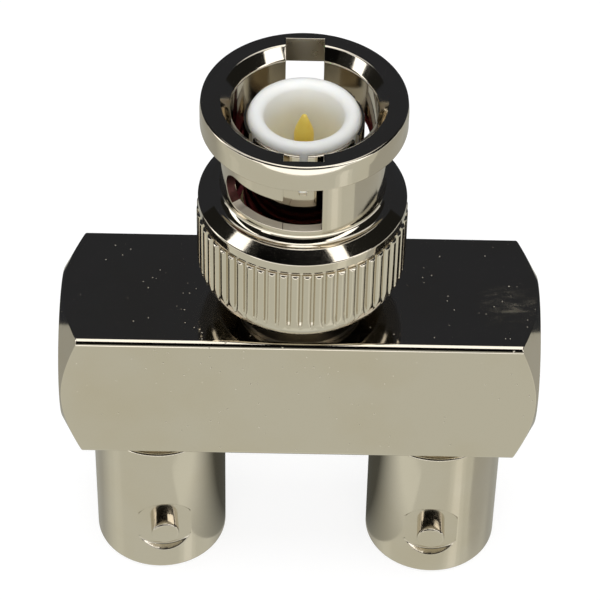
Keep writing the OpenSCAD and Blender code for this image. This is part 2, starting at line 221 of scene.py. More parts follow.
@dataclass(frozen=True)
class Finish:
    """A finish of the object, named for the real material and how it was made."""

    name: str
    slot: str

    def dress(self, board: NodeBoard, shader: bpy.types.Node) -> None:
        """Sets the shader's sockets and adds the finish's patterns.

        Args:
            board: The material's node tree.
            shader: Its Principled shader.
        """
        raise NotImplementedError

    def material(self) -> bpy.types.Material:
        """Returns the finish's material, made when it is first asked for."""
        found = bpy.data.materials.get(self.name)
        if found:
            return found
        made = bpy.data.materials.new(self.name)
        made.use_nodes = True
        self.dress(NodeBoard(made.node_tree), made.node_tree.nodes["Principled BSDF"])
        return made


@dataclass(frozen=True)
class NickelPlate(Finish):
    """Bright nickel on polished brass: a mirror with faint haze, pits and polishing lines.

    Attributes:
        colour: The clean plate; on the slot ends it is a painted reflection of the red gasket.
        tarnish: Its tone where it was handled; on the slot ends it is the darker side of that painted
            reflection.
        roughness: The least and the most haze.
        lines: How far the polishing lines are drawn out; a small number is along them.
        line_depth: Depth of those lines in millimetres.
        pits: Share of the places that may be pitted.
        wave: Height of the polished surface's slow waves in millimetres.
        metal: Share of the plate that reflects as metal.
        smear: Middle of a thumb smear in millimetres, if there is one.
        smear_reach: Radius of that smear in millimetres.
        stain: Colour of the dried film in it.
    """

    colour: str = "#D4CCBD"
    tarnish: str = "#C4B48F"
    roughness: tuple[float, float] = (0.045, 0.11)
    lines: tuple[float, float, float] = (0.05, 3.0, 3.0)
    line_depth: float = 0.0004
    pits: float = 0.0
    wave: float = 0.0006
    metal: float = 1.0
    smear: tuple[float, float, float] | None = None
    smear_reach: float = 3.2
    stain: str = "#8A8058"

    def dress(self, board: NodeBoard, shader: bpy.types.Node) -> None:
        """Lays tarnish, haze, fine lines and pits over the metal.

        Args:
            board: The material's node tree.
            shader: Its Principled shader.
        """
        shader.inputs["Metallic"].default_value = self.metal
        where = board.where()
        # handling marks: soft blotches a few millimetres wide; on the slot ends they blotch the painted
        # gasket reflection
        tint = board.ramp(board.noise(where, 7.0, 3.0, Roughness=0.5), (0.45, 0.85), (0.0, 0.3))
        metal = board.mix(tint, linear(self.colour), linear(self.tarnish))
        haze = board.noise(where, 1.6, 5.0, Roughness=0.7)
        rough = board.ramp(haze, (0.3, 0.7), self.roughness)
        # polishing lines, about 0.2 mm apart because the real ones are too fine to show
        drawn = board.add("ShaderNodeMapping", {"Vector": where, "Scale": self.lines}).outputs["Vector"]
        lines = board.bump(board.noise(drawn, 0.18, 3.0, Roughness=0.6), 1.0, self.line_depth)
        # slight waviness that polishing leaves, 2.6 mm from crest to crest
        normal = board.bump(board.noise(where, 2.6, 1.0), 1.0, self.wave, normal=lines)
        if self.smear:
            metal, rough = self._smeared(board, where, metal, rough)
        if self.pits:
            normal, rough = self._pitted(board, where, normal, rough)
        board.wire(shader, base=metal, roughness=rough, normal=normal)

    def _smeared(
        self,
        board: NodeBoard,
        where: bpy.types.NodeSocket,
        metal: bpy.types.NodeSocket,
        rough: bpy.types.NodeSocket,
    ) -> tuple[bpy.types.NodeSocket, bpy.types.NodeSocket]:
        """Adds a dried thumb smear: streaky, brownish and dull.

        Args:
            board: The material's node tree.
            where: Object coordinates.
            metal: The colour so far.
            rough: The roughness so far.

        Returns:
            The colour and the roughness with the smear on them.
        """
        spot = tuple(c * MM for c in self.smear)
        away = board.add("ShaderNodeVectorMath", {0: where, 1: spot}, operation="DISTANCE").outputs["Value"]
        reach = self.smear_reach * MM
        near = board.ramp(away, (0.15 * reach, reach), (1.0, 0.0), "SMOOTHSTEP")
        wiped = {"Vector": where, "Rotation": (0, 0, 0.6), "Scale": (0.5, 1.6, 1.0)}
        drawn = board.add("ShaderNodeMapping", wiped).outputs["Vector"]
        streaks = board.noise(drawn, 0.8, 4.0, Roughness=0.65, Distortion=0.8)
        film = board.maths("MULTIPLY", near, board.ramp(streaks, (0.36, 0.85), (0.0, 1.0)))
        colour = board.mix(board.maths("MULTIPLY", film, 0.5), metal, linear(self.stain))
        return colour, board.maths("MULTIPLY_ADD", film, 0.42, rough)

    def _pitted(
        self,
        board: NodeBoard,
        where: bpy.types.NodeSocket,
        normal: bpy.types.NodeSocket,
        rough: bpy.types.NodeSocket,
    ) -> tuple[bpy.types.NodeSocket, bpy.types.NodeSocket]:
        """Adds scattered pits in the plate, each about 0.1 mm wide.

        Args:
            board: The material's node tree.
            where: Object coordinates.
            normal: The normal so far.
            rough: The roughness so far.

        Returns:
            The normal and the roughness with the pits in them.
        """
        places = {"Vector": where, "Scale": per_mm(0.55), "Randomness": 1.0}
        cells = board.add("ShaderNodeTexVoronoi", places, feature="F1").outputs
        dot = board.ramp(cells["Distance"], (0.07, 0.13), (1.0, 0.0))
        lot = board.add("ShaderNodeSeparateColor", {"Color": cells["Color"]}).outputs["Red"]
        crowd = board.noise(where, 6.0, 2.0)
        limit = board.ramp(crowd, (0.35, 0.7), (1.0, 1.0 - self.pits))
        pit = board.maths("MULTIPLY", dot, board.maths("GREATER_THAN", lot, limit))
        sunk = board.bump(pit, 1.0, 0.02, normal=normal, invert=True)
        return sunk, board.maths("MULTIPLY_ADD", pit, 0.3, rough)


@dataclass(frozen=True)
class SatinMetal(Finish):
    """A plain metal whose tone and sheen change slowly from place to place.

    Attributes:
        colour: Its lighter tone.
        shade: Its darker tone.
        roughness: The least and the most haze.
        cloud: Length over which the tone changes, in millimetres.
        detail: How many finer layers of cloud lie over it.
        metal: Share of the surface that reflects as metal.
    """

    colour: str
    shade: str
    roughness: tuple[float, float]
    cloud: float
    detail: float = 4.0
    metal: float = 1.0

    def dress(self, board: NodeBoard, shader: bpy.types.Node) -> None:
        """Sets the two tones and an uneven sheen.

        Args:
            board: The material's node tree.
            shader: Its Principled shader.
        """
        shader.inputs["Metallic"].default_value = self.metal
        cloud = board.noise(board.where(), self.cloud, self.detail)
        colour = board.mix(cloud, linear(self.colour), linear(self.shade))
        board.wire(shader, base=colour, roughness=board.ramp(cloud, (0.0, 1.0), self.roughness))


@dataclass(frozen=True)
class WhiteDielectric(Finish):
    """Turned fluoropolymer: waxy white, lets a little light in, faint tool rings.

    Attributes:
        colour: Its lighter tone.
        shade: Its darker tone.
        cup: Painted warm light deep in a cup, for the light that the gold pin throws back into it.
        cup_rim: Height of the cup's rim in millimetres, or 0 for a piece without a cup.
    """

    colour: str = "#F0F1F0"
    shade: str = "#E8E9E6"
    # painted warm light for the depth of a cup
    cup: str = "#FBF8E9"
    cup_rim: float = 0.0

    def dress(self, board: NodeBoard, shader: bpy.types.Node) -> None:
        """Sets a waxy white with soft clouds and a fine turned surface.

        Args:
            board: The material's node tree.
            shader: Its Principled shader.
        """
        shader.inputs["IOR"].default_value = 1.38
        shader.inputs["Subsurface Weight"].default_value = 0.25
        shader.inputs["Subsurface Radius"].default_value = (0.9, 0.75, 0.55)
        shader.inputs["Subsurface Scale"].default_value = 0.6 * MM
        where = board.where()
        cloud = board.noise(where, 2.2, 4.0)
        colour = board.mix(cloud, linear(self.colour), linear(self.shade))
        # painted warm light deep in the cup, for light that the gold pin throws back
        if self.cup_rim:
            colour = self._painted_cup_light(board, where, colour)
        rough = board.ramp(cloud, (0.0, 1.0), (0.34, 0.48))
        normal = board.bump(board.noise(where, 0.15, 2.0), 0.5, 0.003)
        board.wire(shader, base=colour, roughness=rough, normal=normal)

    def _painted_cup_light(
        self, board: NodeBoard, where: bpy.types.NodeSocket, colour: bpy.types.NodeSocket
    ) -> bpy.types.NodeSocket:
        """Paints warm light into the depth of the cup, for the light that the gold pin throws back into it.

        Args:
            board: The material's node tree.
            where: Object coordinates.
            colour: The colour so far.

        Returns:
            The colour, with painted warm light below the cup's rim.
        """
        height = board.add("ShaderNodeSeparateXYZ", {"Vector": where}).outputs["Z"]
        deep, rim = (self.cup_rim - 3.0) * MM, self.cup_rim * MM
        depth = board.ramp(height, (deep, rim), (1.0, 0.0), "SMOOTHSTEP")
        return board.mix(depth, colour, linear(self.cup))


@dataclass(frozen=True)
class RedSilicone(Finish):
    """Moulded silicone rubber: dark red, soft sheen, fine mould grain."""

    colour: str = "#AA4C58"
    shade: str = "#903A46"

    def dress(self, board: NodeBoard, shader: bpy.types.Node) -> None:
        """Sets a dark red rubber with a fine grain.

        Args:
            board: The material's node tree.
            shader: Its Principled shader.
        """
        shader.inputs["IOR"].default_value = 1.41
        grain = board.noise(board.where(), 0.2, 3.0)
        colour = board.mix(grain, linear(self.colour), linear(self.shade))
        rough = board.ramp(grain, (0.0, 1.0), (0.4, 0.6))
        board.wire(shader, base=colour, roughness=rough, normal=board.bump(grain, 0.6, 0.01))


BAR_NICKEL = NickelPlate(
    "nickel plate on milled bar", "nickel_plate", pits=0.8, smear=(14.6, -1.2, 24.9)
)
NUT_NICKEL = NickelPlate("nickel plate on turned nut", "nickel_plate", lines=(0.6, 0.6, 4.0))
GROOVE_NICKEL = NickelPlate(
    "nickel plate in broached groove",
    "nickel_plate",
    roughness=(0.24, 0.4),
    lines=(4.0, 4.0, 0.5),
    line_depth=0.003,
)
SLOT_NICKEL = NickelPlate(
    "nickel plate on milled slot",
    "nickel_plate",
    roughness=(0.35, 0.5),
    line_depth=0.003,
    metal=0.55,
)
# the slot ends' maroon colour and tarnish are a painted reflection of the red gasket, with painted shade
SLOT_END_PAINTED_REFLECTION = NickelPlate(
    "nickel slot end with painted gasket reflection",
    "nickel_plate",
    colour="#64413E",
    tarnish="#4A2D2C",
    roughness=(0.32, 0.45),
    line_depth=0.003,
)
JACK_NICKEL = NickelPlate(
    "nickel plate on turned jack", "nickel_plate", roughness=(0.1, 0.17), lines=(0.6, 0.6, 4.0)
)
GOLD = SatinMetal(
    "gold plate on contact", "gold_plate", "#FBE47C", "#F0CE52", (0.28, 0.42), 0.7, detail=3.0, metal=0.7
)
BRASS = SatinMetal("bare turned brass", "bare_brass", "#CDA85A", "#A98443", (0.2, 0.4), 1.5)
DIELECTRIC = WhiteDielectric("turned white fluoropolymer", "white_dielectric")
# the plug's insulator, with painted warm light in the depth of its cup
CUP_DIELECTRIC = WhiteDielectric("white fluoropolymer of the cup", "white_dielectric", cup_rim=41.1)
RUBBER = RedSilicone("moulded red silicone", "red_silicone")
SPRING = SatinMetal("rolled spring steel", "spring_steel", "#A9A9AB", "#8E8E92", (0.22, 0.42), 0.9)


# Mesh helpers


class Axis(Enum):
    """The axis about which a piece is turned."""

    X = "x"
    Y = "y"
    Z = "z"


@dataclass(frozen=True)
class Corner:
    """One corner of a turned section: radius, place along the axis and rounding."""

    r: float
    a: float
    ease: float = 0.0
    steps: int = 4


def turn_to(axis: Axis) -> Matrix:
    """Returns the rotation that lays the lathe's Z axis along the given axis."""
    if axis is Axis.X:
        return Matrix.Rotation(math.radians(90), 4, "Y")
    if axis is Axis.Y:
        return Matrix.Rotation(math.radians(-90), 4, "X")
    return Matrix.Identity(4)


def lathe(section: Sequence[Corner], steps: int, closed: bool = True) -> bmesh.types.BMesh:
    """Turns a section about Z.

    Args:
        section: Corners of the section, in millimetres.
        steps: Facets round the piece.
        closed: Whether the section is a ring; an open one starts and ends on the axis.

    Returns:
        The turned shape, in millimetres.
    """
    bm = bmesh.new()
    points = [bm.verts.new((c.r, 0, c.a)) for c in section]
    last = len(points) if closed else len(points) - 1
    for i in range(last):
        bm.edges.new((points[i], points[(i + 1) % len(points)]))
    for point, corner in zip(points, section):
        if corner.ease > 0:
            bmesh.ops.bevel(
                bm,
                geom=[point],
                offset=corner.ease,
                offset_type="OFFSET",
                segments=corner.steps,
                profile=0.5,
                affect="VERTICES",
                clamp_overlap=False,
                material=-1,
            )
    bmesh.ops.spin(
        bm,
        geom=bm.verts[:] + bm.edges[:],
        cent=(0, 0, 0),
        axis=(0, 0, 1),
        angle=math.tau,
        steps=steps,
        use_merge=True,
        use_duplicate=False,
    )
    bmesh.ops.remove_doubles(bm, verts=bm.verts[:], dist=1e-5)
    bmesh.ops.recalc_face_normals(bm, faces=bm.faces[:])
    return bm


def mesh_of(
    bm: bmesh.types.BMesh, name: str, place: Matrix = Matrix.Identity(4)
) -> bpy.types.Object:
    """Makes an object of a shape drawn in millimetres.

    Args:
        bm: The shape; it is freed.
        name: The object's name.
        place: Where the shape goes, in millimetres.

    Returns:
        The object, at the origin, with its place in its mesh, in metres.
    """
    bmesh.ops.transform(bm, matrix=Matrix.Scale(MM, 4) @ place, verts=bm.verts[:])
    mesh = bpy.data.meshes.new(name)
    bm.to_mesh(mesh)
    bm.free()
    mesh.shade_smooth()
    made = bpy.data.objects.new(name, mesh)
    bpy.context.scene.collection.objects.link(made)
    return made


def carve(
    piece: bpy.types.Object, cutters: Iterable[bpy.types.Object], operation: str = "DIFFERENCE"
) -> None:
    """Applies exact booleans to a piece and removes the cutters.

    Args:
        piece: The piece that is cut.
        cutters: What cuts it.
        operation: Blender's name of the boolean.
    """
    used = list(cutters)
    for cutter in used:
        cut = piece.modifiers.new("cut", "BOOLEAN")
        cut.operation = operation
        cut.solver = "EXACT"
        cut.object = cutter
    graph = bpy.context.evaluated_depsgraph_get()
    result = bpy.data.meshes.new_from_object(piece.evaluated_get(graph))
    piece.modifiers.clear()
    old = piece.data
    result.name = old.name
    piece.data = result
    bpy.data.meshes.remove(old)
    for cutter in used:
        bpy.data.objects.remove(cutter)


def ease_edges(
    piece: bpy.types.Object,
    width: float,
    chosen: Callable[[bmesh.types.BMEdge], bool],
    segments: int = 2,
) -> None:
    """Rounds the sharp edges that a test picks.

    Args:
        piece: The piece.
        width: Width of the rounding in millimetres.
        chosen: Says whether an edge is rounded.
        segments: Facets across the rounding.
    """
    bm = bmesh.new()
    bm.from_mesh(piece.data)
    bmesh.ops.remove_doubles(bm, verts=bm.verts[:], dist=0.004 * MM)
    edges = [e for e in bm.edges if len(e.link_faces) == 2 and chosen(e)]
    bmesh.ops.bevel(
        bm,
        geom=edges,
        offset=width * MM,
        offset_type="OFFSET",
        segments=segments,
        profile=0.5,
        affect="EDGES",
        clamp_overlap=False,
        material=-1,
    )
    bm.to_mesh(piece.data)
    bm.free()


def true_normals(
    piece: bpy.types.Object, axis: Axis = Axis.Z, centre: tuple[float, float, float] = (0, 0, 0)
) -> None:
    """Gives a turned or flat-sided piece the normals of the real surface.

    A turned facet's normal is swung round the axis to each of its corners, and the facets
    that meet there smoothly are averaged by their area, so that a mirror finish shows
    neither facets nor bent reflections.

    Args:
        piece: The piece, with its place in its mesh.
        axis: The axis that it was turned about.
        centre: A point on that axis, in millimetres.
    """
    mesh = piece.data
    count = len(mesh.polygons)
    lay = np.array(turn_to(axis).to_3x3())
    origin = np.array(centre) * MM
    co = np.empty(len(mesh.vertices) * 3)
    mesh.vertices.foreach_get("co", co)
    co = (co.reshape(-1, 3) - origin) @ lay
    normal = np.empty(count * 3)
    mesh.polygons.foreach_get("normal", normal)
    normal = normal.reshape(-1, 3) @ lay
    middle = np.empty(count * 3)
    mesh.polygons.foreach_get("center", middle)
    middle = (middle.reshape(-1, 3) - origin) @ lay
    area = np.empty(count)
    mesh.polygons.foreach_get("area", area)
    out = np.hypot(normal[:, 0], normal[:, 1])
    reach = np.maximum(np.hypot(middle[:, 0], middle[:, 1]), 1e-9)
    across = (normal[:, 0] * middle[:, 1] - normal[:, 1] * middle[:, 0]) / reach
    facing = np.sign(normal[:, 0] * middle[:, 0] + normal[:, 1] * middle[:, 1])
    loop_vertex = np.empty(len(mesh.loops), int)
    mesh.loops.foreach_get("vertex_index", loop_vertex)
    start = np.empty(count, int)
    mesh.polygons.foreach_get("loop_start", start)
    total = np.empty(count, int)
    mesh.polygons.foreach_get("loop_total", total)
    loop_face = np.repeat(np.arange(count), total)
    corner = co[loop_vertex]
    radius = np.maximum(np.hypot(corner[:, 0], corner[:, 1]), 1e-9)
    along = (corner[:, :2] * middle[loop_face, :2]).sum(axis=1) / (radius * reach[loop_face])
    narrow = np.minimum.reduceat(along, start) > math.cos(FACET_LIMIT)
    turned = (np.abs(across) < 0.02) & (out > 0.02) & narrow
    own = normal[loop_face].copy()
    swung = turned[loop_face] & (radius > 1e-6)
    push = out[loop_face] * facing[loop_face]
    own[swung, 0] = (push * corner[:, 0] / radius)[swung]
    own[swung, 1] = (push * corner[:, 1] / radius)[swung]
    order = np.argsort(loop_vertex, kind="stable")
    bounds = np.searchsorted(loop_vertex[order], np.arange(len(mesh.vertices) + 1))
    limit = math.cos(SMOOTH_LIMIT)
    result = own.copy()
    for v in range(len(mesh.vertices)):
        loops = order[bounds[v] : bounds[v + 1]]
        if len(loops) < 2:
            continue
        normals = own[loops]
        close = normals @ normals.T > limit
        result[loops] = close @ (normals * area[loop_face[loops], None])
    length = np.maximum(np.linalg.norm(result, axis=1), 1e-12)
    result = (result / length[:, None]) @ lay.T
    mesh.normals_split_custom_set(result.tolist())


def sharp_normals(piece: bpy.types.Object) -> None:
    """Splits the normals of a turned piece, finely faceted already, at its sharp edges.

    Args:
        piece: The piece.
    """
    piece.data.set_sharp_from_angle(angle=SMOOTH_LIMIT)


def dress(piece: bpy.types.Object, finish: Finish, node: str, body: str = "root") -> None:
    """Gives a new piece its finish and its body, and hides the CAD node that it stands for.

    Args:
        piece: The new piece.
        finish: Its finish.
        node: The CAD node that it replaces.
        body: The CAD body that it rides on.
    """
    piece.data.materials.clear()
    piece.data.materials.append(finish.material())
    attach(piece, body)
    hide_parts(node)
    log.info("%s: %d faces", piece.name, len(piece.data.polygons))


def tube_tool(
    radius: float,
    low: float,
    high: float,
    place: Matrix = Matrix.Identity(4),
    steps: int = 96,
    top: float | None = None,
) -> bpy.types.Object:
    """Makes a round cutter.

    Args:
        radius: Its radius at its low end, in millimetres.
        low: Its low end along its own Z.
        high: Its high end along its own Z.
        place: Where it goes, in millimetres.
        steps: Facets round it.
        top: Its radius at its high end, if that differs.

    Returns:
        The cutter.
    """
    bm = bmesh.new()
    bmesh.ops.create_cone(
        bm,
        cap_ends=True,
        segments=steps,
        radius1=radius,
        radius2=radius if top is None else top,
        depth=high - low,
        matrix=Matrix.Translation((0, 0, (low + high) / 2)),
    )
    return mesh_of(bm, "cutter", place)


def box_tool(
    low: Sequence[float], high: Sequence[float], place: Matrix = Matrix.Identity(4)
) -> bpy.types.Object:
    """Makes a square cutter.

    Args:
        low: Its lowest corner, in millimetres.
        high: Its highest corner, in millimetres.
        place: Where it goes, in millimetres.

    Returns:
        The cutter.
    """
    lowest, highest = Vector(low), Vector(high)
    bm = bmesh.new()
    bmesh.ops.create_cube(bm, size=1.0)
    bmesh.ops.scale(bm, vec=highest - lowest, verts=bm.verts[:])
    bmesh.ops.translate(bm, vec=(lowest + highest) / 2, verts=bm.verts[:])
    return mesh_of(bm, "cutter", place)


# Sub-assemblies


@dataclass
class Bar:
    """The square bar with turned ends, drilled for its plug, tube and jacks."""

    size: float = 11.3
    length: float = 33.8
    bottom: float = 13.6
    face_dia: float = 10.7
    cone_angle: float = 30.0
    edge: float = 0.45
    bore_dia: float = 5.0
    plug_dia: float = 7.0
    plug_t: float = 2.4
    jack_x: float = 10.2
    shank_dia: float = 7.24
    tube_dia: float = 6.84
    seat_depth: float = 2.8
    arc_ease: float = 0.07

    @property
    def middle(self) -> float:
        """Height of the bar's own axis."""
        return self.bottom + self.size / 2

    def build(self) -> None:
        """Builds the bar and the pressed plug in its end."""
        lying = Matrix.Translation((0, 0, self.middle)) @ turn_to(Axis.X)
        half = self.length / 2
        bar = self._blank()
        carve(bar, [self._turned_ends(lying)], "INTERSECT")
        carve(bar, self._drills(lying))
        outside = (self.size / 2 - 0.6) * MM

        def arc_or_rim(edge: bmesh.types.BMEdge) -> bool:
            """Picks the arcs and rims on the outside of the bar."""
            mid = (edge.verts[0].co + edge.verts[1].co) / 2
            out = max(abs(mid.y), abs(mid.z - self.middle * MM)) > outside
            out = out or abs(mid.x) > (half - 0.01) * MM
            return out and edge.calc_face_angle(0) > math.radians(20)

        ease_edges(bar, self.arc_ease, arc_or_rim)
        true_normals(bar, Axis.X, (0, 0, self.middle))
        dress(bar, BAR_NICKEL, "bar_body")
        self._end_plug(lying)

    def _blank(self) -> bpy.types.Object:
        """Returns the square bar with eased long edges, 1 mm longer than needed at each end."""
        bm = bmesh.new()
        bmesh.ops.create_cube(bm, size=1.0)
        bmesh.ops.scale(bm, vec=(self.length + 2, self.size, self.size), verts=bm.verts[:])
        long_edges = [e for e in bm.edges if abs(e.verts[0].co.x - e.verts[1].co.x) > 1]
        bmesh.ops.bevel(
            bm,
            geom=long_edges,
            offset=self.edge,
            offset_type="OFFSET",
            segments=6,
            profile=0.5,
            affect="EDGES",
            material=-1,
        )
        return mesh_of(bm, "bar", Matrix.Translation((0, 0, self.middle)))

    def _turned_ends(self, lying: Matrix) -> bpy.types.Object:
        """Makes the turned outline that the bar is cut to.

        Args:
            lying: The bar's own axis.

        Returns:
            The cutter.
        """
        face_r = self.face_dia / 2
        half = self.length / 2
        slope = self.size * math.tan(math.radians(self.cone_angle))
        section = [
            Corner(0, -half),
            Corner(face_r, -half),
            Corner(face_r + self.size, -half + slope),
            Corner(face_r + self.size, half - slope),
            Corner(face_r, half),
            Corner(0, half),
        ]
        return mesh_of(lathe(section, 256, closed=False), "turned ends", lying)

    def _drills(self, lying: Matrix) -> list[bpy.types.Object]:
        """Makes the cutters for the long bore, the tube's seat and the jacks' holes.

        Args:
            lying: The bar's own axis.

        Returns:
            The cutters.
        """
        bore = self.bore_dia / 2
        half = self.length / 2
        top = self.bottom + self.size
        cutters = [
            tube_tool(self.plug_dia / 2 + PRESS_GAP, half - self.plug_t, half + 1, lying, 128),
            tube_tool(bore, -self.jack_x - bore, half, lying, 64),
            tube_tool(self.tube_dia / 2, top - self.seat_depth, 30, steps=128),
            tube_tool(bore, self.middle, 24, steps=64),
        ]
        for side in (-1, 1):
            at = Matrix.Translation((side * self.jack_x, 0, 0))
            cutters.append(tube_tool(self.shank_dia / 2, 10, self.bottom + self.seat_depth, at, 128))
            cutters.append(tube_tool(bore, self.bottom, self.middle, at, 64))
        return cutters

    def _end_plug(self, lying: Matrix) -> None:
        """Builds the plug that closes the long bore.

        Args:
            lying: The bar's own axis.
        """
        half = self.length / 2
        plug_r = self.plug_dia / 2
        section = [
            Corner(0, half - self.plug_t),
            Corner(plug_r, half - self.plug_t, 0.3, 3),
            Corner(plug_r, half, 0.08, 3),
            Corner(0, half),
        ]
        plug = mesh_of(lathe(section, 128, closed=False), "pressed_end_plug", lying)
        true_normals(plug, Axis.X, (0, 0, self.middle))
        dress(plug, JACK_NICKEL, "end_plug")


@dataclass
class Jack:
    """One jack: shell with spot faces and studs, insulator stem and socket."""

    side: str
    x: float
    turn: float
    barrel_dia: float = 9.7
    bore_dia: float = 8.2
    bore_depth: float = 8.7
    length: float = 13.6
    relief_h: float = 1.0
    relief_dia: float = 8.2
    shank_dia: float = 7.2
    shank_top: float = 16.4
    seat_dia: float = 5.6
    edge: float = 0.35
    stud_dia: float = 2.05
    over_studs: float = 11.0
    stud_height: float = 4.6
    spot_depth: float = 0.42
    spot_dia: float = 4.6
    spot_flare: float = 0.61
    spot_ease: float = 0.07
    stem_dia: float = 4.7
    stem_recess: float = 0.5
    socket_hole_dia: float = 2.24
    tail_hole_dia: float = 0.94
    tail_hole_step: float = 0.6

    @property
    def place(self) -> Matrix:
        """Where the jack stands, turned in the bar."""
        return Matrix.Translation((self.x, 0, 0)) @ Matrix.Rotation(math.radians(self.turn), 4, "Z")

    def _facing(self, turn: float) -> Matrix:
        """Returns the place whose Z axis points out through a stud, at a turn in degrees."""
        return (
            self.place
            @ Matrix.Rotation(math.radians(turn), 4, "Z")
            @ Matrix.Translation((0, 0, self.stud_height))
            @ Matrix.Rotation(math.radians(90), 4, "X")
        )

    def build(self) -> None:
        """Builds the shell, the studs and the insulator."""
        self._shell()
        for name, turn in (("front", 0), ("back", 180)):
            self._stud(name, turn)
        self._insulator()

    def _shell(self) -> None:
        """Builds the barrel with its relief, bore and two spot faces."""
        barrel, bore = self.barrel_dia / 2, self.bore_dia / 2
        shoulder = self.length - self.relief_h
        section = [
            Corner(bore, 0, 0.2, 2),
            Corner(barrel, 0, self.edge, 8),
            Corner(barrel, shoulder, 0.25, 5),
            Corner(self.relief_dia / 2, shoulder, 0.12, 3),
            Corner(self.relief_dia / 2, self.length),
            Corner(self.shank_dia / 2, self.length),
            Corner(self.shank_dia / 2, self.shank_top),
            Corner(self.seat_dia / 2, self.shank_top),
            Corner(self.seat_dia / 2, self.bore_depth),
            Corner(bore, self.bore_depth, 0.2, 3),
        ]
        shell = mesh_of(lathe(section, 240), f"{self.side}_shell", self.place)
        floor, past = barrel - self.spot_depth, barrel + 0.5
        spot = self.spot_dia / 2
        wide = spot + self.spot_flare * (past - floor)
        carve(shell, [tube_tool(spot, floor, past, self._facing(turn), top=wide) for turn in (0, 180)])
        axis = Vector((self.x, 0)) * MM
        skin = (barrel - self.spot_depth - 0.05) * MM

        def spot_rim(edge: bmesh.types.BMEdge) -> bool:
            """Picks the edges of the two spot faces."""
            mid = (edge.verts[0].co + edge.verts[1].co) / 2
            near = abs(mid.z - self.stud_height * MM) < 3.2 * MM
            return near and (mid.xy - axis).length > skin and edge.calc_face_angle(0) > math.radians(18)

        ease_edges(shell, self.spot_ease, spot_rim)
        true_normals(shell, Axis.Z, (self.x, 0, 0))
        dress(shell, JACK_NICKEL, f"{self.side}_jack_shell")

    def _stud(self, name: str, turn: float) -> None:
        """Builds one stud.

        Args:
            name: Front or back.
            turn: Its turn about the jack's axis in degrees.
        """
        r = self.stud_dia / 2
        end = self.over_studs / 2
        root = self.bore_dia / 2 + PRESS_GAP
        section = [
            Corner(0, root),
            Corner(r, root),
            Corner(r, end, 0.16, 5),
            Corner(0, end),
        ]
        turned = lathe(section, 96, closed=False)
        stud = mesh_of(turned, f"{self.side}_stud_{name}", self._facing(turn))
        sharp_normals(stud)
        dress(stud, JACK_NICKEL, f"{self.side}_{name}_stud")

    def _insulator(self) -> None:
        """Builds the white stem round the socket contact."""
        stem, seat = self.stem_dia / 2, self.seat_dia / 2 - PRESS_GAP
        hole, tail = self.socket_hole_dia / 2, self.tail_hole_dia / 2
        floor = self.bore_depth + self.tail_hole_step
        section = [
            Corner(hole, self.stem_recess, 0.1, 2),
            Corner(stem, self.stem_recess, 0.25, 5),
            Corner(stem, self.bore_depth),
            Corner(seat, self.bore_depth),
            Corner(seat, self.shank_top),
            Corner(tail, self.shank_top),
            Corner(tail, floor),
            Corner(hole, floor),
        ]
        stem_piece = mesh_of(lathe(section, 128), f"{self.side}_stem", self.place)
        true_normals(stem_piece, Axis.Z, (self.x, 0, 0))
        dress(stem_piece, DIELECTRIC, f"{self.side}_jack_insulator")


